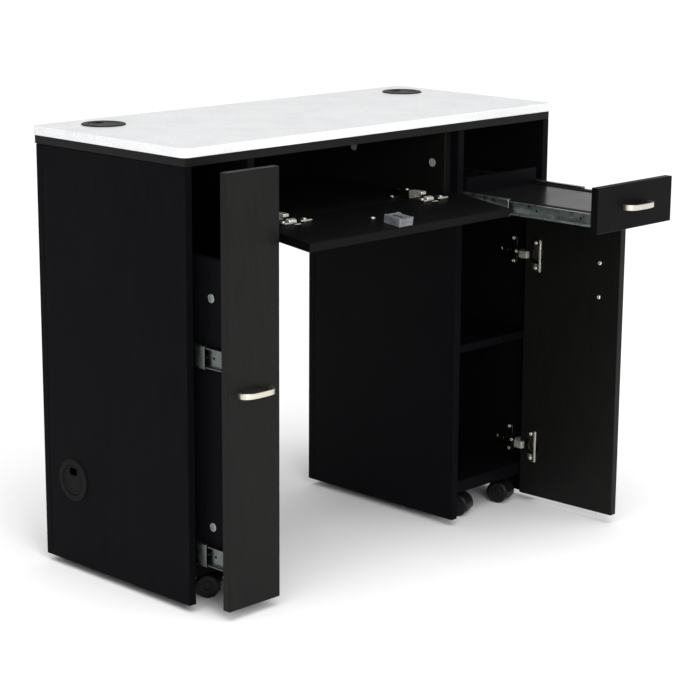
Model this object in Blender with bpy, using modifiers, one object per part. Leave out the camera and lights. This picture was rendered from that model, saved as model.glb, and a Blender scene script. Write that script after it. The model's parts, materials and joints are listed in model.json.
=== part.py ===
"""A manicure table: a stone top on two narrow cabinets, on hooded twin-wheel casters.

The left cabinet holds a tall pull-out rack. A shallow box with a drop-down flap bridges
the knee space. The right cabinet has a drawer over a cupboard with a hinged door.

Lengths are in millimetres and are written in the carcass's own frame: x runs right from
its left face, y runs back from its front face, and z runs up from the lower ends of its
side panels. at() turns them into the scene's metres, where the origin is on the floor
under the middle of the table's box. Every moving piece is drawn closed, and its empty
then carries it to the resting pose, with the doors and drawers open.
"""
import math

import bmesh
import bpy
from mathutils import Matrix, Vector

# Driving dimensions, in millimetres
WIDTH = 900.0
DEPTH = 381.0
CARCASS_TOP = 743.0
BOARD = 15.0
GAP = 0.3
REVEAL = 3.0
SLAB_OVERHANG = 5.0
SLAB_BACK = 389.0
SLAB_THICKNESS = 15.0
SUB_TOP_BACK = 384.0
FLOOR_DROP = 13.0
LEFT_CABINET = 150.0
RIGHT_CABINET_START = 647.5
CABINET_BOTTOM = 39.7
BOTTOM_BOARD = 23.3
SHELF_BOTTOM = 310.0
DOOR_BOTTOM = 4.5

# Resting pose: how far each leaf, rack and drawer stands open
DOOR_OPEN = 92.2
FLAP_OPEN = 96.2
DRAWER_OUT = 300.0
DRAWER_SLIDE_LAG = 0.4
RACK_OUT = 77.0
RACK_SLIDE_LAG = 0.5

# Worked-out levels and faces
PANEL_TOP = CARCASS_TOP - BOARD
BACK_FACE = DEPTH - BOARD
RIGHT_INNER = RIGHT_CABINET_START + BOARD
LEFT_INNER = LEFT_CABINET - BOARD
OUTER_RIGHT = WIDTH - BOARD
BEHIND_FRONT = BOARD + 1.0
BEHIND_DOOR = 21.0

# Middle box and its flap
BOX_FLOOR = 597.0
MIDDLE_BACK_BOTTOM = 593.0
BOX_FLOOR_FRONT = 19.0
FLAP_BOTTOM = 591.0
FLAP_TOP = 725.5
FLAP_PIVOT = (-1.06, 601.87)
CATCH_WIDTH = (361.0, 396.0)
CATCH_HEIGHT = (686.0, 725.0)
CATCH_BACK = 29.8

# Drawer
DRAWER_BOTTOM = 577.0
DRAWER_TOP = 657.0
DRAWER_SIDE_GAP = 5.8
DRAWER_SIDE_TOP = 612.0
DRAWER_BACK_TOP = 640.0
DRAWER_SLIDE_LEVEL = 600.0
DRAWER_BOARD = 12.0

# Door
DOOR_TOP = 573.5
DOOR_PIVOT = (871.3, 7.26)
DOOR_HINGE_LEVELS = {"lower": 103.0, "upper": 475.0}
FLAP_HINGE_PLACES = {"left": 226.0, "right": 563.0}

# Slides: height of the cabinet member, of the middle one and of the moving one
SLIDE_LENGTH = 300.0
SLIDE_DEPTH = 12.7
DRAWER_SLIDE = (35.0, 31.0, 23.0)
RACK_SLIDE = (45.0, 40.0, 33.0)
RACK_SLIDE_LEVELS = {"lower": 88.0, "upper": 422.0}
STEEL = 1.2

# Concealed hinge
CUP_RADIUS = 17.4
CUP_WALL = 1.2
CUP_DEPTH = 11.5
CUP_SETBACK = 22.5
DOOR_CUP_SETBACK = 27.5
CUP_BORE_RADIUS = CUP_RADIUS + GAP
CUP_BORE_DEPTH = 12.0
ARM_WIDTH = 13.0

# Handle: a bow of flat bar, squarer than an ellipse
HANDLE_SPAN = 75.0
HANDLE_REACH = 23.0
HANDLE_HEIGHT = 9.5
HANDLE_BAR = 3.6
HANDLE_FOOT = 7.0
HANDLE_SQUARENESS = 3.0
RACK_HANDLE = (75.0, 366.0)
DRAWER_HANDLE = (773.7, 617.0)
DOOR_HANDLE = (710.0, 448.5)
FLAP_HANDLE_X = 398.7

# Casters
WHEEL_RADIUS = 20.0
WHEEL_FACES = (6.0, 17.4)
HOOD_RADIUS = 22.5
HOOD_WIDTH = 36.0
HOOD_LIP = 15.0
WELL_RADIUS = 20.8
WEB = 10.0
AXLE_RADIUS = 3.5
BOSS_RADIUS = 8.0
STEM_RADIUS = 5.0
STEM_LENGTH = 13.5
STEM_TRAIL = 13.0
CASTERS = {
    "left_front": (75.0, 56.0, 40.0), "left_back": (75.0, 325.0, 35.0),
    "right_front_inner": (713.7, 56.0, 20.0), "right_front_outer": (833.7, 56.0, 15.0),
    "right_back_inner": (713.7, 325.0, -25.0), "right_back_outer": (833.7, 325.0, 10.0),
}

# Grommets
GROMMET_RADIUS = 38.0
GROMMET_HOLE = 30.0
GROMMETS_ON_TOP = {"left": (94.0, 315.0), "right": (824.0, 305.0)}
CABLE_PORT = (300.0, 152.0)

# The table's box at rest reaches from the slab's left edge to the open door's handle
LOW_X = -SLAB_OVERHANG
HANDLE_FROM_PIVOT = DOOR_HANDLE[0] - HANDLE_HEIGHT / 2 - DOOR_PIVOT[0]
HIGH_X = (DOOR_PIVOT[0] + HANDLE_FROM_PIVOT * math.cos(math.radians(DOOR_OPEN))
          + (DOOR_PIVOT[1] + HANDLE_REACH) * math.sin(math.radians(DOOR_OPEN)))
LOW_Y = -DRAWER_OUT - HANDLE_REACH
CENTRE = Vector(((LOW_X + HIGH_X) / 2, (LOW_Y + SLAB_BACK) / 2, -FLOOR_DROP))
MM = 0.001
ROUND_STEPS = 28

for leftover in list(bpy.data.objects):
    bpy.data.objects.remove(leftover)

parts = bpy.data.collections.new("manicure_table")
cutters = bpy.data.collections.new("cutters")
for collection in (parts, cutters):
    bpy.context.scene.collection.children.link(collection)


def material(name, color, roughness, metallic=0.0):
    made = bpy.data.materials.new(name)
    made.use_nodes = True
    shader = made.node_tree.nodes["Principled BSDF"]
    shader.inputs["Base Color"].default_value = (*color, 1.0)
    shader.inputs["Roughness"].default_value = roughness
    shader.inputs["Metallic"].default_value = metallic
    return made


STONE = material("white_stone", (0.86, 0.86, 0.83), 0.3)
MELAMINE = material("black_melamine", (0.012, 0.012, 0.014), 0.4)
FRONT = material("charcoal_front", (0.02, 0.02, 0.022), 0.4)
ZINC = material("zinc_steel", (0.55, 0.58, 0.56), 0.35, 1.0)
NICKEL = material("bright_nickel", (0.72, 0.71, 0.67), 0.2, 1.0)
SATIN = material("satin_nickel", (0.62, 0.61, 0.58), 0.32, 1.0)
PLASTIC = material("black_plastic", (0.015, 0.015, 0.015), 0.45)
CLEAR = material("grey_plastic", (0.5, 0.52, 0.54), 0.3)


def at(x, y, z):
    """A point of the carcass's frame, in the scene's metres."""
    return (Vector((x, y, z)) - CENTRE) * MM


def pivot(name, place, parent=None):
    """An empty on a joint's axis. What is parented to it is drawn where it stands closed."""
    empty = bpy.data.objects.new(name, None)
    empty.empty_display_size = 0.03
    parts.objects.link(empty)
    empty.location = place
    if parent:
        attach(empty, parent)
    return empty


def attach(obj, parent):
    """Parents a piece drawn closed to an empty, along with whatever cuts it or joins it."""
    obj.parent = parent
    obj.matrix_parent_inverse = Matrix.Translation(parent["closed"]).inverted()
    for modifier in obj.modifiers:
        if modifier.type == "BOOLEAN":
            attach(modifier.object, parent)


def rest_place(empty):
    """Remembers where the empty stands closed, which is where its pieces are drawn."""
    empty["closed"] = list(empty.location)
    return empty


def mesh_object(name, mesh_data, surface, collection=parts):
    mesh = bpy.data.meshes.new(name)
    mesh_data.to_mesh(mesh)
    mesh_data.free()
    obj = bpy.data.objects.new(name, mesh)
    collection.objects.link(obj)
    if surface:
        mesh.materials.append(surface)
    if collection is cutters:
        obj.hide_render = True
        obj.display_type = "WIRE"
    return obj


def soften(obj, width):
    bevel = obj.modifiers.new("edges", "BEVEL")
    bevel.width = width * MM
    bevel.segments = 1
    bevel.limit_method = "ANGLE"


def box(name, x, y, z, surface=None, edge=0.8, parent=None, collection=parts):
    """A board between the given spans, each a pair of millimetre values."""
    data = bmesh.new()
    bmesh.ops.create_cube(data, size=1.0)
    low, high = at(x[0], y[0], z[0]), at(x[1], y[1], z[1])
    size = high - low
    bmesh.ops.scale(data, vec=size, verts=data.verts)
    bmesh.ops.translate(data, vec=(low + high) / 2, verts=data.verts)
    obj = mesh_object(name, data, surface, collection)
    if edge:
        soften(obj, edge)
    if parent:
        attach(obj, parent)
    return obj


def local_box(name, x, y, z, collection=cutters, surface=None):
    """A plain box around its own origin, in millimetres, to be placed later."""
    data = bmesh.new()
    bmesh.ops.create_cube(data, size=1.0)
    size = Vector((x[1] - x[0], y[1] - y[0], z[1] - z[0])) * MM
    middle = Vector((x[0] + x[1], y[0] + y[1], z[0] + z[1])) * MM / 2
    bmesh.ops.scale(data, vec=size, verts=data.verts)
    bmesh.ops.translate(data, vec=middle, verts=data.verts)
    return mesh_object(name, data, surface, collection)


def cylinder(name, radius, low, high, collection=cutters, surface=None, steps=ROUND_STEPS):
    """A cylinder along its own Z, from low to high, in millimetres."""
    data = bmesh.new()
    bmesh.ops.create_cone(data, cap_ends=True, segments=steps, radius1=radius * MM,
                          radius2=radius * MM, depth=(high - low) * MM)
    bmesh.ops.translate(data, vec=(0, 0, (low + high) / 2 * MM), verts=data.verts)
    return mesh_object(name, data, surface, collection)


def boolean(target, tool, operation="DIFFERENCE"):
    change = target.modifiers.new(tool.name, "BOOLEAN")
    change.operation = operation
    change.object = tool


def smooth(obj):
    obj.data.shade_smooth()
    obj.data.set_sharp_from_angle(angle=math.radians(40))


def frame(place, x_axis, y_axis):
    """The matrix that lays local X and Y along the given world directions at a place."""
    x_axis, y_axis = Vector(x_axis), Vector(y_axis)
    rotation = Matrix((x_axis, y_axis, x_axis.cross(y_axis))).transposed()
    return Matrix.Translation(place) @ rotation.to_4x4()


def outline(name, points, length, matrix, surface=None):
    """A flat closed outline, in millimetres, extruded by length about its own plane."""
    curve = bpy.data.curves.new(name, "CURVE")
    curve.dimensions = "2D"
    curve.fill_mode = "BOTH"
    curve.extrude = length * MM / 2
    spline = curve.splines.new("POLY")
    spline.points.add(len(points) - 1)
    for point, (u, v) in zip(spline.points, points):
        point.co = (u * MM, v * MM, 0, 1)
    spline.use_cyclic_u = True
    obj = bpy.data.objects.new(name, curve)
    obj.matrix_basis = matrix
    parts.objects.link(obj)
    if surface:
        curve.materials.append(surface)
    return obj


def as_mesh(obj, collection=parts):
    """Turns an extruded outline into a closed mesh, so that it can be cut or joined."""
    graph = bpy.context.evaluated_depsgraph_get()
    data = bmesh.new()
    mesh = bpy.data.meshes.new_from_object(obj.evaluated_get(graph))
    data.from_mesh(mesh)
    bmesh.ops.remove_doubles(data, verts=data.verts, dist=1e-6)
    surface = mesh.materials[0] if mesh.materials else None
    name, matrix = obj.name, obj.matrix_basis.copy()
    bpy.data.objects.remove(obj)
    made = mesh_object(name, data, surface, collection)
    made.matrix_basis = matrix
    return made


def turned(name, profile, matrix, surface, steps=ROUND_STEPS):
    """A solid of revolution about its own Z from (radius, height) points, top to bottom."""
    data = bmesh.new()
    points = [data.verts.new((radius * MM, 0, height * MM)) for radius, height in profile]
    for first, second in zip(points, points[1:]):
        data.edges.new((first, second))
    obj = mesh_object(name, data, surface)
    screw = obj.modifiers.new("turn", "SCREW")
    screw.steps = screw.render_steps = steps
    screw.use_merge_vertices = True
    screw.merge_threshold = 0.00001
    screw.use_smooth_shade = True
    obj.matrix_basis = matrix
    return obj


def arc(centre, radius, start, end, steps):
    """Points on a circle between two angles in degrees."""
    for step in range(steps + 1):
        angle = math.radians(start + (end - start) * step / steps)
        yield centre[0] + radius * math.cos(angle), centre[1] + radius * math.sin(angle)


X, Y, Z = Vector((1, 0, 0)), Vector((0, 1, 0)), Vector((0, 0, 1))


# ---- Worktop: the stone slab on its board ----

def stone_top():
    corner, slab_width = 15.0, WIDTH + 2 * SLAB_OVERHANG
    low = (-SLAB_OVERHANG, -SLAB_OVERHANG)
    high = (low[0] + slab_width, SLAB_BACK)
    corners = ((high[0] - corner, high[1] - corner, 0), (low[0] + corner, high[1] - corner, 90),
               (low[0] + corner, low[1] + corner, 180), (high[0] - corner, low[1] + corner, 270))
    points = [point for x, y, start in corners
              for point in arc((x, y), corner, start, start + 90, 5)]
    matrix = Matrix.Translation(at(0, 0, CARCASS_TOP + GAP + SLAB_THICKNESS / 2))
    slab = as_mesh(outline("stone_top", points, SLAB_THICKNESS, matrix, STONE))
    soften(slab, 1.6)
    return slab


slab = stone_top()
sub_top = box("sub_top", (0, WIDTH), (0, SUB_TOP_BACK), (PANEL_TOP + GAP, CARCASS_TOP), MELAMINE)

# ---- Side, back and bottom boards ----

outer_side = box("left_outer_side", (0, BOARD), (0, BACK_FACE - GAP), (0, PANEL_TOP), MELAMINE)
box("left_inner_side", (LEFT_INNER, LEFT_CABINET), (0, BACK_FACE - GAP), (0, PANEL_TOP), MELAMINE)
box("right_inner_side", (RIGHT_CABINET_START, RIGHT_INNER), (0, BACK_FACE - GAP),
    (0, PANEL_TOP), MELAMINE)
box("right_outer_side", (OUTER_RIGHT, WIDTH), (0, BACK_FACE - GAP), (0, PANEL_TOP), MELAMINE)
box("left_back", (0, LEFT_CABINET), (BACK_FACE, DEPTH), (0, PANEL_TOP), MELAMINE)
box("right_back", (RIGHT_CABINET_START, WIDTH), (BACK_FACE, DEPTH), (0, PANEL_TOP), MELAMINE)
box("middle_back", (LEFT_CABINET + GAP, RIGHT_CABINET_START - GAP), (BACK_FACE, DEPTH),
    (MIDDLE_BACK_BOTTOM, PANEL_TOP), MELAMINE)
BOTTOM_BOARDS = {
    "left": box("left_bottom", (BOARD + GAP, LEFT_INNER - GAP), (BEHIND_FRONT, BACK_FACE - GAP),
                (CABINET_BOTTOM, CABINET_BOTTOM + BOTTOM_BOARD), MELAMINE),
    "right": box("right_bottom", (RIGHT_INNER + GAP, OUTER_RIGHT - GAP),
                 (BEHIND_DOOR, BACK_FACE - GAP),
                 (CABINET_BOTTOM, CABINET_BOTTOM + BOTTOM_BOARD), MELAMINE),
}
box("cupboard_shelf", (RIGHT_INNER + GAP, OUTER_RIGHT - GAP), (BEHIND_DOOR, BACK_FACE - GAP),
    (SHELF_BOTTOM, SHELF_BOTTOM + BOARD), MELAMINE)


def middle_box():
    """The box's floor and its two sides, which are glued into one U."""
    left, right = LEFT_CABINET + GAP, RIGHT_CABINET_START - GAP
    low, floor, top = BOX_FLOOR, BOX_FLOOR + BOARD, PANEL_TOP - GAP
    points = ((left, low), (right, low), (right, top), (right - BOARD, top),
              (right - BOARD, floor), (left + BOARD, floor), (left + BOARD, top), (left, top))
    back = BACK_FACE - GAP
    matrix = frame(at(0, (BOX_FLOOR_FRONT + back) / 2, 0), X, Z)
    soften(as_mesh(outline("middle_box", points, back - BOX_FLOOR_FRONT, matrix, MELAMINE)), 0.6)


middle_box()

# ---- Cable grommets ----


def grommet(name, matrix, seat, depth):
    """A flanged sleeve with a closed cap, which has an open mouth for the cables. Its flange
    sits at the level `seat`, and its sleeve reaches down to `depth`."""
    sleeve = GROMMET_HOLE - 0.5
    profile = ((0, 1.4), (26, 1.4), (28, 2.2), (GROMMET_RADIUS - 2, 2.2), (GROMMET_RADIUS, 0.9),
               (GROMMET_RADIUS, seat), (sleeve, seat), (sleeve, -depth), (sleeve - 2, -depth),
               (sleeve - 2, -1.4), (0, -1.4))
    ring = turned(name, profile, matrix, PLASTIC)
    mouth = local_box(name + "_mouth", (-10, 10), (8, 22), (-6, 6))
    mouth.matrix_basis = matrix
    boolean(ring, mouth)


def hole(target, name, matrix, radius, low, high):
    tool = cylinder(name, radius, low, high)
    tool.matrix_basis = matrix
    boolean(target, tool)


SLAB_TOP = CARCASS_TOP + GAP + SLAB_THICKNESS
for side, (x, y) in GROMMETS_ON_TOP.items():
    here = frame(at(x, y, SLAB_TOP), X, Y)
    grommet(side + "_grommet", here, -SLAB_THICKNESS, SLAB_THICKNESS + BOARD)
    hole(slab, side + "_slab_hole", here, GROMMET_RADIUS + 2 * GAP, -40, 10)
    hole(sub_top, side + "_sub_top_hole", here, GROMMET_HOLE, -40, 10)

port = frame(at(0, *CABLE_PORT), -Y, Z)
grommet("side_cable_port", port, GAP, BOARD)
hole(outer_side, "cable_port_hole", port, GROMMET_HOLE, -30, 10)

# ---- Slides, three members each ----


def channel(half, web, tip):
    """A C outline in (depth, height): its web at one depth and its flanges out to the tip."""
    inward = math.copysign(STEEL, tip - web)
    return ((web, -half), (tip, -half), (tip, STEEL - half), (web + inward, STEEL - half),
            (web + inward, half - STEEL), (tip, half - STEEL), (tip, half), (web, half))


def slide(name, wall, toward, level, heights, middle, moving):
    """Cabinet, middle and moving members of one slide, on a wall at x and facing toward."""
    members = (
        ("outer", channel(heights[0] / 2, GAP, 11.0), None),
        ("middle", channel(heights[1] / 2, 2.4, 10.0), middle),
        ("inner", channel(heights[2] / 2, SLIDE_DEPTH - GAP, 4.2), moving),
    )
    centre = at(wall, BEHIND_FRONT + SLIDE_LENGTH / 2, level)
    for member, points, parent in members:
        sided = [(toward * u, v) for u, v in points]
        made = outline(name + "_" + member, sided, SLIDE_LENGTH, frame(centre, X, Z), ZINC)
        if parent:
            attach(made, parent)


# ---- Pull-out rack in the left cabinet ----

rack = rest_place(pivot("rack_pull", at(75, 0, 300)))
rack_middle = rest_place(pivot("rack_middle_pull", at(75, 20, 300)))
for level_name, level in RACK_SLIDE_LEVELS.items():
    slide("rack_slide_" + level_name, BOARD, 1, level, RACK_SLIDE, rack_middle, rack)

box("rack_front", (BOARD + REVEAL, LEFT_INNER - REVEAL), (0, BOARD),
    (DOOR_BOTTOM, PANEL_TOP - 2), FRONT, parent=rack)
RACK_LEFT = BOARD + SLIDE_DEPTH + GAP
RACK_RIGHT = 130.0
RACK_BACK = 315.0
RACK_BOARD = 12.0
RACK_RAIL = 6.0
RACK_RAIL_HEIGHT = 30.0
RACK_SPAN = (66.0, 583.0)
RACK_LEVELS = (RACK_SPAN[0], 250.0, 420.0)


def rack_tray():
    """The rack's left side, shelves, rails and back, glued into one piece."""
    low, high = RACK_SPAN
    wall = RACK_LEFT + RACK_BOARD
    points = [(RACK_LEFT, high), (RACK_LEFT, low)]
    for level in RACK_LEVELS:
        top = level + RACK_BOARD
        points += [(RACK_RIGHT, level), (RACK_RIGHT, top + RACK_RAIL_HEIGHT),
                   (RACK_RIGHT - RACK_RAIL, top + RACK_RAIL_HEIGHT), (RACK_RIGHT - RACK_RAIL, top),
                   (wall, top)]
        if level != RACK_LEVELS[-1]:
            points.append((wall, RACK_LEVELS[RACK_LEVELS.index(level) + 1]))
    points.append((wall, high))
    front, back = BOARD + GAP, RACK_BACK - 0.6
    matrix = frame(at(0, (front + back) / 2, 0), X, Z)
    tray = as_mesh(outline("rack_tray", points, back - front, matrix, MELAMINE))
    back_board = box("rack_back_board", (RACK_LEFT + 3, RACK_RIGHT - 0.5),
                     (RACK_BACK - RACK_BOARD, RACK_BACK), (low + 0.5, high - 0.5), edge=0,
                     collection=cutters)
    boolean(tray, back_board, "UNION")
    attach(tray, rack)


rack_tray()


def bow_curve(half, reach, steps):
    """Points along a squared-off half ellipse, from its right foot to its left one."""
    power = 2 / HANDLE_SQUARENESS
    points = [(half, GAP)]
    for step in range(1, steps):
        turn = math.pi * step / steps
        along = math.copysign(abs(math.cos(turn)) ** power, math.cos(turn))
        points.append((along * half, GAP + math.sin(turn) ** power * (reach - GAP)))
    return points + [(-half, GAP)]


def bow_handle(name, matrix, parent):
    """A bow of flat bar with two feet, standing HANDLE_REACH from the face it is on.

    Local X runs along the bow, local Y points away from the face.
    """
    half = HANDLE_SPAN / 2
    points = bow_curve(half, HANDLE_REACH, 18)
    points += bow_curve(half - HANDLE_FOOT, HANDLE_REACH - HANDLE_BAR, 14)[::-1]
    bow = as_mesh(outline(name, points, HANDLE_HEIGHT, matrix, SATIN))
    smooth(bow)
    attach(bow, parent)


bow_handle("rack_handle", frame(at(RACK_HANDLE[0], 0, RACK_HANDLE[1]), X, -Y), rack)

# ---- Drawer in the right cabinet ----

drawer = rest_place(pivot("drawer_pull", at(DRAWER_HANDLE[0], 0, DRAWER_HANDLE[1])))
drawer_middle = rest_place(pivot("drawer_middle_pull", at(DRAWER_HANDLE[0], 20, DRAWER_HANDLE[1])))
slide("drawer_slide_left", RIGHT_INNER, 1, DRAWER_SLIDE_LEVEL, DRAWER_SLIDE, drawer_middle, drawer)
slide("drawer_slide_right", OUTER_RIGHT, -1, DRAWER_SLIDE_LEVEL, DRAWER_SLIDE, drawer_middle,
      drawer)

DRAWER_LEFT = RIGHT_INNER + SLIDE_DEPTH + GAP
DRAWER_RIGHT = OUTER_RIGHT - SLIDE_DEPTH - GAP
DRAWER_BASE = 583.5
DRAWER_BASE_BOARD = 6.0
DRAWER_TRAY = 610.5
DRAWER_LENGTH = BOARD + SLIDE_LENGTH
box("drawer_front", (RIGHT_INNER + DRAWER_SIDE_GAP, OUTER_RIGHT - DRAWER_SIDE_GAP), (0, BOARD),
    (DRAWER_BOTTOM, DRAWER_TOP), FRONT, parent=drawer)
box("drawer_bottom", (DRAWER_LEFT + DRAWER_BOARD + GAP, DRAWER_RIGHT - DRAWER_BOARD - GAP),
    (BOARD + GAP, DRAWER_LENGTH - DRAWER_BOARD - GAP),
    (DRAWER_TRAY - DRAWER_BASE_BOARD, DRAWER_TRAY), MELAMINE, edge=0.4, parent=drawer)


def drawer_frame():
    """The drawer's two low sides and its taller back, glued into one U."""
    front, back, inner = BOARD + GAP, DRAWER_LENGTH, DRAWER_LENGTH - DRAWER_BOARD
    left, right = DRAWER_LEFT + DRAWER_BOARD, DRAWER_RIGHT - DRAWER_BOARD
    points = ((DRAWER_LEFT, front), (left, front), (left, inner), (right, inner), (right, front),
              (DRAWER_RIGHT, front), (DRAWER_RIGHT, back), (DRAWER_LEFT, back))
    matrix = Matrix.Translation(at(0, 0, (DRAWER_BASE + DRAWER_SIDE_TOP) / 2))
    height = DRAWER_SIDE_TOP - DRAWER_BASE
    sides = as_mesh(outline("drawer_frame", points, height, matrix, MELAMINE))
    raised = box("drawer_raised_back", (DRAWER_LEFT + 0.5, DRAWER_RIGHT - 0.5),
                 (inner + 0.5, back - 0.5), (DRAWER_SIDE_TOP - 8, DRAWER_BACK_TOP), edge=0,
                 collection=cutters)
    boolean(sides, raised, "UNION")
    attach(sides, drawer)


drawer_frame()
bow_handle("drawer_handle", frame(at(DRAWER_HANDLE[0], 0, DRAWER_HANDLE[1]), X, -Y), drawer)

# ---- Concealed hinges: a sprung-arm half on the carcass and a cup half on the leaf ----


def hinge_cup(name, leaf, matrix, parent):
    """A hollow cup sunk in the leaf, with its flange. Local Z points out of the leaf's
    inner face, and local Y to its hinged edge; the origin is the cup's centre."""
    flange = local_box(name, (-31, 31), (-11, 11), (GAP, 1.8), collection=parts, surface=NICKEL)
    cup = cylinder(name + "_cup", CUP_RADIUS, -CUP_DEPTH, 1.8)
    hollow = cylinder(name + "_hollow", CUP_RADIUS - CUP_WALL, CUP_WALL - CUP_DEPTH, 5)
    bore = cylinder(name + "_bore", CUP_BORE_RADIUS, -CUP_BORE_DEPTH, 5)
    for piece in (flange, cup, hollow, bore):
        piece.matrix_basis = matrix
    boolean(flange, cup, "UNION")
    boolean(flange, hollow)
    boolean(leaf, bore)
    attach(flange, parent)
    attach(bore, parent)


def hinge_arm(name, points, matrix):
    """The arm and its plate. Local X points to the front, local Y away from the board that
    the plate is on, and the outline is in those two."""
    arm = as_mesh(outline(name, points, ARM_WIDTH, matrix, NICKEL))
    plate = local_box(name + "_plate", (-70, -54), (GAP, 2.8), (-28, 28))
    plate.matrix_basis = matrix
    boolean(arm, plate, "UNION")


DOOR_ARM = ((-90, GAP), (-90, 3.5), (-80, 13), (-34, 15.5), (-27, 31), (-22, 33), (-6, 33),
            (-6, 24), (-20, 24), (-21.5, 17), (-22, 12), (-24, GAP))
FLAP_ARM = ((-90, GAP), (-90, 3.5), (-80, 13), (-34, 15.5), (-20, 16), (-5.6, 15.5),
            (-5.6, 10), (-18.5, 10), (-19, GAP))

# ---- Door of the right cupboard ----

door_hinge = rest_place(pivot("door_hinge", at(*DOOR_PIVOT, 289)))
door = box("door", (RIGHT_INNER + REVEAL, OUTER_RIGHT - REVEAL), (0, BOARD),
           (DOOR_BOTTOM, DOOR_TOP), FRONT, parent=door_hinge)
for level_name, level in DOOR_HINGE_LEVELS.items():
    hinge_cup("door_hinge_cup_" + level_name, door,
              frame(at(OUTER_RIGHT - REVEAL - DOOR_CUP_SETBACK, BOARD, level), Z, X), door_hinge)
    hinge_arm("door_hinge_arm_" + level_name, DOOR_ARM, frame(at(OUTER_RIGHT, 0, level), -Y, -X))
bow_handle("door_handle", frame(at(DOOR_HANDLE[0], 0, DOOR_HANDLE[1]), Z, -Y), door_hinge)

# ---- Flap of the middle box ----

flap_hinge = rest_place(pivot("flap_hinge", at(FLAP_HANDLE_X, *FLAP_PIVOT)))
flap = box("flap", (LEFT_CABINET + REVEAL, RIGHT_CABINET_START - REVEAL), (0, BOARD),
           (FLAP_BOTTOM, FLAP_TOP), FRONT, parent=flap_hinge)
for place_name, place in FLAP_HINGE_PLACES.items():
    hinge_cup("flap_hinge_cup_" + place_name, flap,
              frame(at(place, BOARD, FLAP_BOTTOM + CUP_SETBACK), X, -Z), flap_hinge)
    hinge_arm("flap_hinge_arm_" + place_name, FLAP_ARM,
              frame(at(place, 0, BOX_FLOOR + BOARD), -Y, Z))
FLAP_MIDDLE = (FLAP_BOTTOM + FLAP_TOP) / 2
bow_handle("flap_handle", frame(at(FLAP_HANDLE_X, 0, FLAP_MIDDLE), X, -Y), flap_hinge)
box("flap_catch", CATCH_WIDTH, (BOARD + GAP, CATCH_BACK), CATCH_HEIGHT, CLEAR, edge=1.5,
    parent=flap_hinge)

# ---- Casters ----


def hood(name, matrix, parent):
    """A web between the wheels, a roof over them and the stem. Local X is the axle, local Z
    points up, and the origin is the axle's middle."""
    side = frame((0, 0, 0), Y, Z)
    points = list(arc((0, 0), HOOD_RADIUS, -HOOD_LIP, 180 + HOOD_LIP, 18))
    body = as_mesh(outline(name, points, HOOD_WIDTH, matrix @ side, PLASTIC))
    top = CABINET_BOTTOM + FLOOR_DROP - WHEEL_RADIUS
    for part_name, radius, low, high in (("boss", BOSS_RADIUS, 8.0, top - 0.5),
                                         ("stem", STEM_RADIUS, 24.0, top + STEM_LENGTH)):
        post = cylinder(name + "_" + part_name, radius, low, high, steps=20)
        post.matrix_basis = matrix @ Matrix.Translation(Vector((0, STEM_TRAIL, 0)) * MM)
        boolean(body, post, "UNION")
    for number, end in enumerate((-1, 1)):
        well = cylinder(f"{name}_well_{number}", WELL_RADIUS, WEB / 2, HOOD_WIDTH)
        well.matrix_basis = matrix @ frame((0, 0, 0), Y, end * Z)
        boolean(body, well)
    bore = cylinder(name + "_bore", AXLE_RADIUS + GAP, -WEB, WEB, steps=16)
    bore.matrix_basis = matrix @ side
    boolean(body, bore)
    attach(body, parent)


def wheel_pair(name, matrix, parent):
    """Two wheels and the axle between them, turned as one piece about local X."""
    inner, outer = WHEEL_FACES
    rim = WHEEL_RADIUS
    half = ((0, outer - 2), (7, outer - 2), (8, outer), (rim - 1.5, outer), (rim, outer - 1.5),
            (rim, inner + 1.5), (rim - 1.5, inner), (AXLE_RADIUS, inner))
    profile = half + tuple((radius, -height) for radius, height in reversed(half))
    wheels = turned(name, profile, matrix @ frame((0, 0, 0), Y, Z), PLASTIC, steps=24)
    attach(wheels, parent)


for caster, (x, y, turn) in CASTERS.items():
    board = BOTTOM_BOARDS[caster.split("_")[0]]
    swivel = rest_place(pivot(caster + "_swivel", at(x, y, CABINET_BOTTOM)))
    hole(board, caster + "_socket", frame(at(x, y, CABINET_BOTTOM), X, Y), STEM_RADIUS + GAP,
         -5, STEM_LENGTH + 0.5)
    axle = at(x, y - STEM_TRAIL, WHEEL_RADIUS - FLOOR_DROP)
    roll = rest_place(pivot(caster + "_roll", axle, swivel))
    hood(caster + "_caster_hood", Matrix.Translation(axle), swivel)
    wheel_pair(caster + "_caster_wheels", Matrix.Translation(axle), roll)
    swivel.rotation_euler.z = math.radians(turn)

# ---- The resting pose ----

door_hinge.rotation_euler.z = math.radians(DOOR_OPEN)
flap_hinge.rotation_euler.x = math.radians(FLAP_OPEN)
drawer.location.y -= DRAWER_OUT * MM
drawer_middle.location.y -= DRAWER_OUT * DRAWER_SLIDE_LAG * MM
rack.location.y -= RACK_OUT * MM
rack_middle.location.y -= RACK_OUT * RACK_SLIDE_LAG * MM
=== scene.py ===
"""The looks of the manicure table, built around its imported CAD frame.

The boards are the CAD's own, with laminate materials. The slab, handles, hinges, slides,
casters, grommets and catch are finer pieces that stand for their CAD nodes. Lengths are in
millimetres in the carcass's frame: x right, y back and z up from its front left lower
corner. A piece of a moving body is drawn closed, and REST carries it to where it rests.
"""
import json
import math

import bmesh
import bpy
from mathutils import Matrix, Vector


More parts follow.
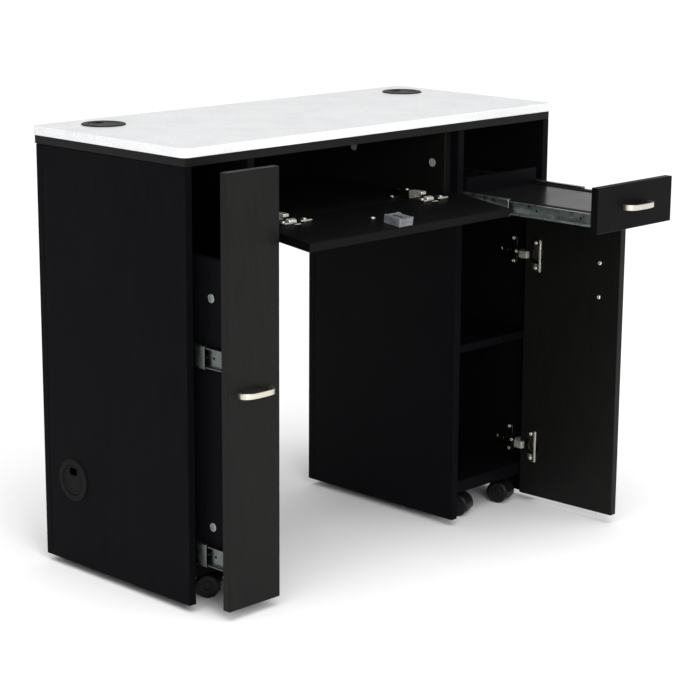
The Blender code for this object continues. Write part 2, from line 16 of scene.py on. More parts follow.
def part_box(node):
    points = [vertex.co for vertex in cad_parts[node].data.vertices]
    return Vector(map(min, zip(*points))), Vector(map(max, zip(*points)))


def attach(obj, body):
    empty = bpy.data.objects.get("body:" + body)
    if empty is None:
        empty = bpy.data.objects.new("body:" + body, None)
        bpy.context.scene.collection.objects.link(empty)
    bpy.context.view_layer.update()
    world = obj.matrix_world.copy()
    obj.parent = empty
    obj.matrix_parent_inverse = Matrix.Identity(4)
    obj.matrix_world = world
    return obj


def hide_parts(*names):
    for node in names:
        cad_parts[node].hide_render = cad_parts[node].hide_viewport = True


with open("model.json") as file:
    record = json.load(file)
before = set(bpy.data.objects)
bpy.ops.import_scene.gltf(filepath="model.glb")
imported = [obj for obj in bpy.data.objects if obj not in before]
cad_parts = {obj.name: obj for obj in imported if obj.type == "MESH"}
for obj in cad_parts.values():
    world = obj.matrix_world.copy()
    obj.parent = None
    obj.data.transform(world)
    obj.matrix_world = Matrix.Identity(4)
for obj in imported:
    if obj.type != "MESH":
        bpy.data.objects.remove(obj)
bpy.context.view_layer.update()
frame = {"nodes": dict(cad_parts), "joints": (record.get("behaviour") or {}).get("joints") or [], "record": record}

MM = 0.001
X, Y, Z = Vector((1, 0, 0)), Vector((0, 1, 0)), Vector((0, 0, 1))
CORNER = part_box("left_outer_side")[0]
JOINTS = {joint["name"]: joint for joint in frame["joints"]}
CASTERS = [name[:-len("_swivel")] for name in JOINTS if name.endswith("_swivel")]
BOARD = 15.0
GAP = 0.3
RIGHT_INNER = 662.5
OUTER_RIGHT = 885.0
DOOR_EDGE = 882.0
BOX_FLOOR_TOP = 612.0
BOX_INNER_RIGHT = 632.2
FLAP_BOTTOM, FLAP_TOP = 591.0, 725.5
NOISE_LOW, NOISE_HIGH = 0.3, 0.7
BEVEL_ANGLE, SMOOTH_ANGLE = math.radians(35), math.radians(38)


def at(x, y, z):
    """A point of the carcass's frame, in the scene's metres."""
    return CORNER + Vector((x, y, z)) * MM


def opened(joint_name):
    """What carries a piece from its closed place to its resting one."""
    joint = JOINTS[joint_name]
    axis = Vector(joint["axis"])
    if joint["type"] == "slide":
        return Matrix.Translation(-joint["range_m"][0] * axis)
    pivot = Matrix.Translation(joint["pos_m"])
    turn = Matrix.Rotation(math.radians(-joint["range_deg"][0]), 4, axis)
    return pivot @ turn @ pivot.inverted()


REST = {
    "carcass": Matrix(),
    "rack": opened("rack_slide"),
    "rack_slide_middles": opened("rack_middle_slide"),
    "drawer": opened("drawer_slide"),
    "drawer_slide_middles": opened("drawer_middle_slide"),
    "door": opened("door_hinge"),
    "flap": opened("flap_hinge"),
}

# ---- Materials ----


def new_material(name, color, roughness, metallic=0.0, specular=0.5):
    """A Principled material and its node tree, shader and object coordinates."""
    made = bpy.data.materials.new(name)
    made.use_nodes = True
    nodes, links = made.node_tree.nodes, made.node_tree.links
    shader = nodes["Principled BSDF"]
    shader.inputs["Base Color"].default_value = (*color, 1)
    shader.inputs["Roughness"].default_value = roughness
    shader.inputs["Metallic"].default_value = metallic
    shader.inputs["Specular IOR Level"].default_value = specular
    place = nodes.new("ShaderNodeTexCoord").outputs["Object"]
    return made, nodes, links, shader, place


def stretched(nodes, links, place, scale):
    mapping = nodes.new("ShaderNodeMapping")
    mapping.inputs["Scale"].default_value = scale
    links.new(place, mapping.inputs["Vector"])
    return mapping.outputs["Vector"]


def noise(nodes, links, place, scale, detail):
    texture = nodes.new("ShaderNodeTexNoise")
    texture.inputs["Scale"].default_value = scale
    texture.inputs["Detail"].default_value = detail
    links.new(place, texture.inputs["Vector"])
    return texture.outputs["Fac"]


def spread(nodes, links, value, low, high):
    """A number that follows a noise value's middle range from low to high."""
    ranged = nodes.new("ShaderNodeMapRange")
    ranged.inputs["From Min"].default_value = NOISE_LOW
    ranged.inputs["From Max"].default_value = NOISE_HIGH
    ranged.inputs["To Min"].default_value = low
    ranged.inputs["To Max"].default_value = high
    links.new(value, ranged.inputs["Value"])
    return ranged.outputs["Result"]


def ramp(nodes, links, value, start, end, low=NOISE_LOW, high=NOISE_HIGH):
    """A colour that follows a value between low and high from start to end."""
    made = nodes.new("ShaderNodeValToRGB")
    for element, position, color in zip(made.color_ramp.elements, (low, high), (start, end)):
        element.position = position
        element.color = (*color, 1)
    links.new(value, made.inputs["Fac"])
    return made.outputs["Color"]


def bump(nodes, links, shader, height, distance, strength):
    made = nodes.new("ShaderNodeBump")
    made.inputs["Distance"].default_value = distance
    made.inputs["Strength"].default_value = strength
    links.new(height, made.inputs["Height"])
    links.new(made.outputs["Normal"], shader.inputs["Normal"])


def melamine(name, dark, light, roughness, specular):
    """Black laminate: a fine pressed texture with a faint vertical figure and soft smudges."""
    made, nodes, links, shader, place = new_material(name, dark, roughness, specular=specular)
    figure = noise(nodes, links, stretched(nodes, links, place, (1, 1, 0.08)), 260, 4)
    links.new(ramp(nodes, links, figure, dark, light), shader.inputs["Base Color"])
    smudges = noise(nodes, links, place, 7, 4)
    links.new(spread(nodes, links, smudges, roughness - 0.05, roughness + 0.07),
              shader.inputs["Roughness"])
    bump(nodes, links, shader, noise(nodes, links, place, 1400, 2), 0.00006, 0.35)
    return made


BLACK, WHITE = (0, 0, 0), (1, 1, 1)
# Of each kind of grain in the stone: its scale, the share of cells without one, and its colour.
STONE_GRAINS = (
    (420, 0.80, (0.56, 0.56, 0.54)),
    (900, 0.74, (0.60, 0.57, 0.50)),
    (260, 0.95, (0.36, 0.37, 0.37)),
    (600, 0.85, (0.93, 0.93, 0.93)),
)


def speckled_stone():
    """White engineered stone, with fine grey and tan grains in a faintly cloudy ground."""
    made, nodes, links, shader, place = new_material("speckled_stone", (0.8, 0.81, 0.82), 0.22)
    ground = ramp(nodes, links, noise(nodes, links, place, 40, 6), (0.755, 0.77, 0.785),
                  (0.80, 0.81, 0.82))
    for scale, share, color in STONE_GRAINS:
        cells = nodes.new("ShaderNodeTexVoronoi")
        cells.inputs["Scale"].default_value = scale
        links.new(place, cells.inputs["Vector"])
        chosen = ramp(nodes, links, cells.outputs["Color"], BLACK, WHITE, share, share + 0.02)
        near = ramp(nodes, links, cells.outputs["Distance"], WHITE, BLACK, 0.25, 0.55)
        mask = nodes.new("ShaderNodeMix")
        mask.data_type = "RGBA"
        mask.blend_type = "MULTIPLY"
        mask.inputs["Factor"].default_value = 1
        links.new(chosen, mask.inputs["A"])
        links.new(near, mask.inputs["B"])
        mixed = nodes.new("ShaderNodeMix")
        mixed.data_type = "RGBA"
        links.new(mask.outputs["Result"], mixed.inputs["Factor"])
        links.new(ground, mixed.inputs["A"])
        mixed.inputs["B"].default_value = (*color, 1)
        ground = mixed.outputs["Result"]
    links.new(ground, shader.inputs["Base Color"])
    links.new(spread(nodes, links, noise(nodes, links, place, 12, 3), 0.18, 0.28),
              shader.inputs["Roughness"])
    return made


def metal(name, dark, light, roughness, stretch, scale, metallic=1.0):
    """Plated metal, streaked along the way it was rolled or brushed."""
    made, nodes, links, shader, place = new_material(name, dark, roughness, metallic)
    streaks = noise(nodes, links, stretched(nodes, links, place, stretch), scale, 4)
    links.new(ramp(nodes, links, streaks, dark, light), shader.inputs["Base Color"])
    links.new(spread(nodes, links, noise(nodes, links, place, 90, 3), roughness - 0.06,
                     roughness + 0.08), shader.inputs["Roughness"])
    bump(nodes, links, shader, streaks, 0.00002, 0.4)
    return made


def plastic(name, dark, light, roughness, specular, transmission=0.0):
    """Moulded plastic with a fine spark-eroded texture."""
    made, nodes, links, shader, place = new_material(name, dark, roughness, specular=specular)
    shader.inputs["Transmission Weight"].default_value = transmission
    links.new(ramp(nodes, links, noise(nodes, links, place, 50, 3), dark, light),
              shader.inputs["Base Color"])
    links.new(spread(nodes, links, noise(nodes, links, place, 200, 2), roughness - 0.04,
                     roughness + 0.06), shader.inputs["Roughness"])
    bump(nodes, links, shader, noise(nodes, links, place, 2500, 2), 0.00004, 0.3)
    return made


EVEN = (1, 1, 1)
ROLLED = (1, 0.04, 1)
SURFACES = {
    "white_stone": speckled_stone(),
    "black_melamine": melamine("black_laminate", (0.0028, 0.0028, 0.0036),
                               (0.0042, 0.0042, 0.0052), 0.42, 0.02),
    "charcoal_front": melamine("front_laminate", (0.0052, 0.0053, 0.0050),
                               (0.0078, 0.0079, 0.0073), 0.38, 0.10),
    "zinc_steel": metal("zinc_plate", (0.28, 0.325, 0.31), (0.42, 0.465, 0.445), 0.30, ROLLED,
                        700),
    "bright_nickel": metal("nickel_plate", (0.70, 0.68, 0.60), (0.84, 0.82, 0.75), 0.22, EVEN,
                           120, metallic=0.7),
    "satin_nickel": metal("satin_plate", (0.56, 0.53, 0.44), (0.72, 0.69, 0.60), 0.3,
                          (0.06, 1, 1), 900),
    "black_plastic": plastic("black_moulding", (0.004, 0.004, 0.0045), (0.007, 0.007, 0.0075),
                             0.42, 0.25),
    "grey_plastic": plastic("cloudy_plastic", (0.12, 0.125, 0.14), (0.22, 0.23, 0.255), 0.3, 0.4,
                            0.3),
}
DRAWER_LINING = melamine("drawer_lining", (0.005, 0.005, 0.0055), (0.0075, 0.0075, 0.008), 0.20,
                         0.22)
# Painted shade: a darker, less shiny copy of the black moulding, so the side port's rim shows dimmer than the top
# grommets.
PORT_PLASTIC_PAINTED_SHADE = plastic("port_moulding_painted_shade", (0.003, 0.003, 0.0034), (0.005, 0.005, 0.0055), 0.48,
                       0.06)
# Painted shade: a darker copy of the front laminate for the drawer's front and the flap, to show them darker than
# the rack's front under the same light.
FRONT_SHADED = melamine("front_laminate_painted_shade", (0.0020, 0.0020, 0.0022),
                        (0.0032, 0.0032, 0.0035), 0.38, 0.05)
# Painted shade: a darker copy of the zinc plate for the rack's slides, shown darker than the drawer's under the
# same light.
ZINC_SHADED = metal("zinc_plate_painted_shade", (0.10, 0.115, 0.11), (0.17, 0.19, 0.18), 0.30, ROLLED, 700)
BRASS = metal("yellow_zinc", (0.62, 0.47, 0.20), (0.78, 0.64, 0.34), 0.3, EVEN, 150)
# Painted shade: a darker copy of the bright nickel for the hinge cups' flanges.
SHADED_NICKEL = metal("shaded_nickel", (0.20, 0.19, 0.16), (0.32, 0.31, 0.27), 0.3, EVEN, 150)
# Painted shade: a dark copy of the nickel for the hinge cups' bowls and the arms' rears and winged plates.
PAINTED_SHADE_METAL = metal("painted_shade_metal", (0.035, 0.034, 0.03), (0.07, 0.067, 0.058), 0.4, EVEN, 150)
# Painted light: a lighter, part-diffuse copy of the zinc plate for the box's cams, so they show bright in the box;
# the rack's cams keep the plain zinc.
CAM_METAL_PAINTED_LIGHT = metal("cam_face_painted_light", (0.40, 0.41, 0.40), (0.56, 0.57, 0.55), 0.4, EVEN, 150,
                  metallic=0.35)
# Boards drawn in another laminate than that of their slot: the drawer's bottom in a glossier lining, the drawer's
# front and the flap in painted shade, and the sub-top and the middle box in the lighter front laminate as painted
# light.
BOARD_SURFACES = {
    "drawer_bottom": DRAWER_LINING,
    "drawer_front": FRONT_SHADED,
    "flap": FRONT_SHADED,
    # Painted light: these two take the lighter front laminate.
    "sub_top": SURFACES["charcoal_front"],
    "middle_box": SURFACES["charcoal_front"],
}

for row in frame["record"]["subparts"]:
    node = frame["nodes"][row["node"]]
    node.data.materials.clear()
    node.data.materials.append(
        BOARD_SURFACES.get(row["node"], SURFACES[row["material_slot"]]))

# ---- Shapes, as bmeshes in metres ----


def prism(points, low, high):
    """A flat outline in millimetres, closed between two heights of its own Z."""
    data = bmesh.new()
    rings = [[data.verts.new((x * MM, y * MM, height * MM)) for x, y in points]
             for height in (low, high)]
    for ring in rings:
        data.faces.new(ring)
    for index in range(len(points)):
        data.faces.new((rings[0][index - 1], rings[0][index], rings[1][index],
                        rings[1][index - 1]))
    bmesh.ops.recalc_face_normals(data, faces=data.faces)
    return data


def lathe(profile, steps):
    """A solid turned about its own Z from (radius, height) points in millimetres."""
    data = bmesh.new()
    rings = []
    for radius, height in profile:
        if radius == 0:
            rings.append([data.verts.new((0, 0, height * MM))] * steps)
            continue
        rings.append([data.verts.new((radius * MM * math.cos(step * math.tau / steps),
                                      radius * MM * math.sin(step * math.tau / steps),
                                      height * MM)) for step in range(steps)])
    for upper, lower in zip(rings, rings[1:]):
        for step in range(steps):
            corners = dict.fromkeys(
                (upper[step - 1], upper[step], lower[step], lower[step - 1]))
            if len(corners) > 2:
                data.faces.new(tuple(corners))
    bmesh.ops.remove_doubles(data, verts=data.verts, dist=1e-7)
    bmesh.ops.recalc_face_normals(data, faces=data.faces)
    return data


def block(x, y, z):
    """A box between two values on each axis."""
    return prism(((x[0], y[0]), (x[1], y[0]), (x[1], y[1]), (x[0], y[1])), *z)


def moved(data, matrix):
    bmesh.ops.transform(data, matrix=matrix, verts=data.verts)
    return data


def shift(x, y, z):
    return Matrix.Translation(Vector((x, y, z)) * MM)


def joined(*shapes):
    """Several shapes in one bmesh, left as separate shells."""
    base = bmesh.new()
    for shape in shapes:
        mesh = bpy.data.meshes.new("joined")
        shape.to_mesh(mesh)
        shape.free()
        base.from_mesh(mesh)
        bpy.data.meshes.remove(mesh)
    return base


def combined(data, others, operation="DIFFERENCE"):
    """A Boolean of one bmesh with others."""
    made = []
    for shape in (data, *others):
        mesh = bpy.data.meshes.new("operand")
        shape.to_mesh(mesh)
        shape.free()
        made.append(bpy.data.objects.new("operand", mesh))
        bpy.context.scene.collection.objects.link(made[-1])
    for other in made[1:]:
        change = made[0].modifiers.new("combine", "BOOLEAN")
        change.operation = operation
        change.object = other
    graph = bpy.context.evaluated_depsgraph_get()
    result = bmesh.new()
    result.from_mesh(made[0].evaluated_get(graph).to_mesh())
    for obj in made:
        mesh = obj.data
        bpy.data.objects.remove(obj)
        bpy.data.meshes.remove(mesh)
    return result


def arc(centre, radius, start, end, steps):
    """Points on a circle between two angles in degrees."""
    return [(centre[0] + radius * math.cos(math.radians(start + (end - start) * step / steps)),
             centre[1] + radius * math.sin(math.radians(start + (end - start) * step / steps)))
            for step in range(steps + 1)]


def rounded(width, height, radius, steps=6):
    """A rectangle about the origin with round corners."""
    x, y = width / 2 - radius, height / 2 - radius
    return [point for cx, cy, start in ((x, y, 0), (-x, y, 90), (-x, -y, 180), (x, -y, 270))
            for point in arc((cx, cy), radius, start, start + 90, steps)]


def axes(place, x_axis, y_axis):
    """The matrix that lays local X and Y along the given directions at a place in metres."""
    x_axis, y_axis = Vector(x_axis), Vector(y_axis)
    rotation = Matrix((x_axis, y_axis, x_axis.cross(y_axis))).transposed()
    return Matrix.Translation(place) @ rotation.to_4x4()


def piece(name, data, body, slot, matrix=Matrix(), surface=None, soft=0.0, segments=2,
          stands_for=()):
    """Adds a finished piece, which rides its body and stands for the CAD nodes named."""
    mesh = bpy.data.meshes.new(name)
    data.to_mesh(mesh)
    data.free()
    mesh.materials.append(surface or SURFACES[slot])
    obj = bpy.data.objects.new(name, mesh)
    bpy.context.scene.collection.objects.link(obj)
    obj.matrix_world = REST[body] @ matrix
    if soft:
        bevel = obj.modifiers.new("edges", "BEVEL")
        bevel.width = soft * MM
        bevel.segments = segments
        bevel.limit_method = "ANGLE"
        bevel.angle_limit = BEVEL_ANGLE
    mesh.shade_smooth()
    mesh.set_sharp_from_angle(angle=SMOOTH_ANGLE)
    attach(obj, body)
    if stands_for:
        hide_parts(*stands_for)
    return obj


# ---- Screws and cams ----


def cross(size, width, low, high):
    """The two bars that cut a cross recess."""
    return (block((-size, size), (-width, width), (low, high)),
            block((-width, width), (-size, size), (low, high)))


def screw_head(radius):
    """A raised head with a cross recess; local Z leaves the surface it is in."""
    dome = [(radius * math.cos(angle), 0.25 * radius + 0.35 * radius * math.sin(angle))
            for angle in (math.radians(step * 15) for step in range(5, -1, -1))]
    head = lathe([(0, 0.6 * radius)] + dome + [(radius, 0), (0, 0)], 20)
    return combined(head, cross(0.58 * radius, 0.14 * radius, 0.3 * radius, radius))


def screws(name, places, radius, body, matrix, slot="bright_nickel", surface=None):
    """A group of like screws at (x, y, z) places in a local frame, in millimetres."""
    heads = [moved(screw_head(radius), shift(*place)) for place in places]
    piece(name, joined(*heads), body, slot, matrix, surface)


def cam(name, body, matrix, surface=None):
    """A cam fitting's face in its bore: a flat zinc disc with a cross and an arrow notch."""
    disc = lathe(((0, 0.35), (5.9, 0.35), (6.2, 0.6), (7.2, 0.6), (7.5, 0.3), (7.5, 0), (0, 0)),
                 32)
    notch = block((4.4, 6.6), (-0.5, 0.5), (0.15, 2))
    disc = combined(disc, (*cross(2.7, 0.6, 0.05, 2), notch))
    piece(name, disc, body, "zinc_steel", matrix, surface)


# ---- Stone slab and grommets ----

SLAB_CORNER = 15.0
GROMMET_BORE = 30.0
GROMMET_DEPTH = 30.0
slab_low, slab_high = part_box("stone_top")


def stone_slab():
    size = (slab_high - slab_low) / MM
    data = prism(rounded(size.x, size.y, SLAB_CORNER, 12), 0, size.z)
    matrix = Matrix.Translation(((slab_low.x + slab_high.x) / 2, (slab_low.y + slab_high.y) / 2,
                                 slab_low.z))
    holes = []
    for side in ("left", "right"):
        low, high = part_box(side + "_grommet")
        place = matrix.inverted() @ ((low + high) / 2)
        hole = lathe(((0, 30), (GROMMET_BORE, 30), (GROMMET_BORE, -15), (0, -15)), 48)
        holes.append(moved(hole, Matrix.Translation((place.x, place.y, 0))))
    piece("stone_slab", combined(data, holes), "carcass", "white_stone", matrix, soft=1.6,
          segments=3, stands_for=("stone_top",))


def grommet(name, node, matrix, depth, surface=None):
    """A flanged sleeve, and a cap with a cable mouth and a finger groove."""
    rim = arc((36.2, 0.4), 1.8, 0, 90, 5)[::-1]
    profile = [(0, 1.3), (25.6, 1.3), (26.2, 0.7), (27.0, 0.7), (27.6, 2.0), (29, 2.2)]
    profile += rim + [(38, GAP), (29.4, GAP), (29.4, -depth), (27.4, -depth), (27.4, -1.6),
                      (0, -1.6)]
    mouth = moved(prism(rounded(20, 14, 4), -5, 5), shift(0, 15, 0))
    groove = lathe(((0, 5), (21.2, 5), (21.2, 1.0), (20.4, 1.0), (20.4, 4.9), (0, 4.9)), 48)
    body = combined(lathe(profile, 64), (mouth, groove))
    piece(name, body, "carcass", "black_plastic", matrix, surface, stands_for=(node,))


stone_slab()
for side in ("left", "right"):
    low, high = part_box(side + "_grommet")
    middle = (low + high) / 2
    top = Vector((middle.x, middle.y, slab_high.z))
    grommet(side + "_grommet_ring", side + "_grommet", axes(top, X, Y), GROMMET_DEPTH)
port_low, port_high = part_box("side_cable_port")
port_middle = (port_low + port_high) / 2
# The side port's ring takes the darker moulding copy: painted shade.
grommet("cable_port_ring", "side_cable_port",
        axes((CORNER.x, port_middle.y, port_middle.z), -Y, Z), BOARD, PORT_PLASTIC_PAINTED_SHADE)

# ---- Handles ----

HANDLE_SPAN = 75.0
HANDLE_REACH = 23.0
HANDLE_HEIGHT = 9.5
HANDLE_BAR = 3.6
HANDLE_FOOT = 7.0
HANDLE_SQUARENESS = 3.0
HANDLE_SCREWS = 32.0
RACK_HANDLE = (75.0, 366.0)
DRAWER_HANDLE = (773.7, 617.0)
DOOR_HANDLE = (710.0, 448.5)
FLAP_HANDLE = (398.7, (FLAP_BOTTOM + FLAP_TOP) / 2)


def bow_curve(half, reach, steps):
    """Points along a squared-off half ellipse, from its right foot to its left one."""
    turns = [math.radians(180 * step / steps) for step in range(steps + 1)]
    power = 2 / HANDLE_SQUARENESS
    return [(math.copysign(abs(math.cos(turn)) ** power, math.cos(turn)) * half,
             GAP + math.sin(turn) ** power * (reach - GAP) if 0 < step < steps else GAP)
            for step, turn in enumerate(turns)]


def handle(name, node, body, matrix, inside):
    """A bow of flat bar, with the two screw heads of one whose leaf shows its inside."""
    half = HANDLE_SPAN / 2
    points = bow_curve(half, HANDLE_REACH, 48)
    points += bow_curve(half - HANDLE_FOOT, HANDLE_REACH - HANDLE_BAR, 40)[::-1]
    data = prism(points, -HANDLE_HEIGHT / 2, HANDLE_HEIGHT / 2)
    piece(name, data, body, "satin_nickel", matrix, soft=0.8, segments=3, stands_for=(node,))
    if inside:
        turned_in = matrix @ axes((0, -BOARD * MM, 0), X, Z)
        screws(name + "_screws", ((-HANDLE_SCREWS, 0, 0), (HANDLE_SCREWS, 0, 0)), 4.0, body,
               turned_in)


def on_front(place):
    """A point of the closed fronts' outer plane."""
    return at(place[0], 0, place[1])


handle("rack_bow", "rack_handle", "rack", axes(on_front(RACK_HANDLE), X, -Y), False)
handle("drawer_bow", "drawer_handle", "drawer", axes(on_front(DRAWER_HANDLE), X, -Y), True)
handle("door_bow", "door_handle", "door", axes(on_front(DOOR_HANDLE), Z, -Y), True)
handle("flap_bow", "flap_handle", "flap", axes(on_front(FLAP_HANDLE), X, -Y), True)

# ---- Concealed hinges ----

ARM_WIDTH = 13.0
CUP_SETBACK = 22.5
DOOR_CUP_SETBACK = 27.5
CUP_RADIUS = 17.4
CUP_INSIDE = 16.2
CUP_DEPTH = 11.5
FLANGE_TOP = 1.8
LIP_END = 30.6
LIP = ((-10.8, -6.6), (FLANGE_TOP, 3.8))
ARM_PASSAGE = ARM_WIDTH / 2 + 0.8
# Side views of the arms, from the carcass's front edge back and from its board out.
REAR_ARM = ((-90, GAP), (-90, 3.5), (-88, 6.5), (-80, 13), (-35.4, 15.2), (-35.4, GAP))
DOOR_ARM = [(-34, 15.5), (-27, 31), (-25, 32.5), (-22, 33), (-6, 33), (-6, 24), (-20, 24),
            (-21.5, 17), (-22, 12), (-24, GAP)]
FLAP_ARM = [(-20, 16), (-5.6, 15.5), (-5.6, 10), (-18.5, 10), (-19, GAP)]
# A side view of the knuckle beside each of the flap's cups, in the carcass's Y and Z.
FLAP_LINK = ((12, 600.5), (18, 600.5), (18.2, 606), (17, 609.5), (12, 611.5))
LINK_HALF = 8.5


def hinge_arm(name, node, points, matrix):
    """The arm on its winged plate, with the plate's screws and the arm's adjusting ones."""
    front = prism([(-35, GAP), (-35, 15.4)] + points, -ARM_WIDTH / 2, ARM_WIDTH / 2)
    piece(name, front, "carcass", "bright_nickel", matrix, soft=1.0, segments=3,
          stands_for=(node,))
    # The arm's rear and its winged plate take the dark nickel copy: painted shade.
    slot = moved(prism(rounded(16, 5.5, 2.5), 0, 20), axes(Vector((-60, 6, 0)) * MM, X, -Z))
    rear = combined(prism(REAR_ARM, -ARM_WIDTH / 2, ARM_WIDTH / 2), (slot,))
    piece(name + "_rear", rear, "carcass", "bright_nickel", matrix, PAINTED_SHADE_METAL, soft=1.0,
          segments=3)
    plate = moved(prism(rounded(16, 56, 7), 0, 2.5), axes(Vector((-62, GAP, 0)) * MM, X, -Z))
    piece(name + "_plate", plate, "carcass", "bright_nickel", matrix, PAINTED_SHADE_METAL, soft=0.6)
    upright = matrix @ axes((0, 0, 0), X, -Z)
    screws(name + "_screws", ((-62, -22, 2.8), (-62, 22, 2.8), (-84, 0, 8.5), (-46, 0, 14.6)),
           3.6, "carcass", upright)


def hinge_cup(name, node, body, matrix, passage=0.0):
    """The flange with its screws, its raised far edge, and the pressed cup under it.

    A passage is the half width of the opening that the edge leaves for a closing arm.
    """
    flange = prism(rounded(62, 22, 3), GAP, FLANGE_TOP)
    hollow = lathe([(0, 5), (CUP_INSIDE, 5), (CUP_INSIDE, -5), (0, -5)], 48)
    flange = combined(flange, (hollow, block((-CUP_INSIDE, CUP_INSIDE), (0, 20), (-5, 5))))
    # The flange takes the darker nickel copy: painted shade.
    piece(name, flange, body, "bright_nickel", matrix, SHADED_NICKEL, soft=0.4,
          stands_for=(node,))
    spans = ((-LIP_END, -passage), (passage, LIP_END)) if passage else ((-LIP_END, LIP_END),)
    piece(name + "_lip", joined(*(block(span, *LIP) for span in spans)), body, "bright_nickel",
          matrix, soft=0.6)
    bottom = 1.2 - CUP_DEPTH
    wall = lathe([(0, -CUP_DEPTH), (CUP_RADIUS - 1, -CUP_DEPTH), (CUP_RADIUS, 1 - CUP_DEPTH),
                  (CUP_RADIUS, 0.2), (CUP_INSIDE, 0.2), (CUP_INSIDE, bottom + 1)]
                 + arc((CUP_INSIDE - 1, bottom + 1), 1, 0, -90, 3) + [(0, bottom)], 48)
    # The pressed cup takes the dark nickel copy: painted shade in the hollow.
    piece(name + "_bowl", wall, body, "bright_nickel", matrix, PAINTED_SHADE_METAL)
    pin = moved(lathe(((0, 9), (1.6, 9), (1.6, -9), (0, -9)), 16),
                axes(Vector((0, -5.9, -3.0)) * MM, Y, Z))
    piece(name + "_pin", pin, body, "bright_nickel", matrix)
    screws(name + "_screws", ((-24, 1.5, FLANGE_TOP), (24, 1.5, FLANGE_TOP)), 3.4, body, matrix)


for level_name in ("lower", "upper"):
    low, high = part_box("door_hinge_cup_" + level_name)
    level = ((low.z + high.z) / 2 - CORNER.z) / MM
    place = DOOR_EDGE - DOOR_CUP_SETBACK
    hinge_cup("door_cup_" + level_name, "door_hinge_cup_" + level_name, "door",
              axes(at(place, BOARD, level), Z, X))
    hinge_arm("door_arm_" + level_name, "door_hinge_arm_" + level_name, DOOR_ARM,
              axes(at(OUTER_RIGHT, 0, level), -Y, -X))
for place_name in ("left", "right"):
    low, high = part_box("flap_hinge_cup_" + place_name)
    place = ((low.x + high.x) / 2 - CORNER.x) / MM
    piece("flap_link_" + place_name, prism(FLAP_LINK, -LINK_HALF, LINK_HALF), "flap",
          "bright_nickel", axes(at(place, 0, 0), Y, Z), soft=0.8)
    hinge_cup("flap_cup_" + place_name, "flap_hinge_cup_" + place_name, "flap",
              axes(at(place, BOARD, FLAP_BOTTOM + CUP_SETBACK), X, -Z), ARM_PASSAGE)
    hinge_arm("flap_arm_" + place_name, "flap_hinge_arm_" + place_name, FLAP_ARM,
              axes(at(place, 0, BOX_FLOOR_TOP), -Y, Z))

# ---- Slides ----

SLIDE_LENGTH = 300.0
SLIDE_FRONT = 16.0
STEEL = 1.2
BEND = 2.4
RACK_SLIDE = (45, 40, 33)
DRAWER_SLIDE = (35, 31, 23)
RACK_SLIDE_LEVELS = {"lower": 88.0, "upper": 422.0}
DRAWER_SLIDE_LEVEL = 600.0
FIXINGS = ((25, 5), (43, 9), (123, 5), (219, 9), (275, 5))
MIDDLE_SLOTS = ((60, 12), (240, 12))
CABINET_SCREWS = (25, 275)
MOVING_SCREWS = (43, 219)


def channel(half, web, tip):
    """A rolled C in (depth, height), its outer corners round."""
    way = math.copysign(1, tip - web)
    outer = []
    for sign in (-1, 1):
        centre = (web + way * BEND, sign * (half - BEND))
        outer.append([(centre[0] - way * BEND * math.cos(math.radians(turn)),
                       centre[1] + sign * BEND * math.sin(math.radians(turn)))
                      for turn in (0, 22, 45, 68, 90)])
    inner = [(web + way * STEEL, sign * (half - STEEL - 0.8)) for sign in (-1, 1)]
    inner_bend = [(web + way * (STEEL + 0.8), sign * (half - STEEL)) for sign in (-1, 1)]
    return (outer[0] + [(tip, -half), (tip, STEEL - half), inner_bend[0], inner[0], inner[1],
                        inner_bend[1], (tip, half - STEEL), (tip, half)] + outer[1][::-1])


def member(name, node, body, slot_places, points, toward, wall, level, surface):
    """One member of a slide, with (place, length) slots along its web."""
    sided = [(toward * u, v) for u, v in points]
    data = prism(sided, -SLIDE_LENGTH / 2, SLIDE_LENGTH / 2)
    holes = []
    for place, length in slot_places:
        hole = prism(rounded(length, 4.4, 2.1), -40, 40)
        holes.append(moved(hole, axes(Vector((0, 0, SLIDE_LENGTH / 2 - place)) * MM, Z, Y)))
    centre = at(wall, SLIDE_FRONT + SLIDE_LENGTH / 2, level)
    piece(name, combined(data, holes), body, "zinc_steel", axes(centre, X, Z), surface,
          soft=0.25, segments=1, stands_for=(node,))


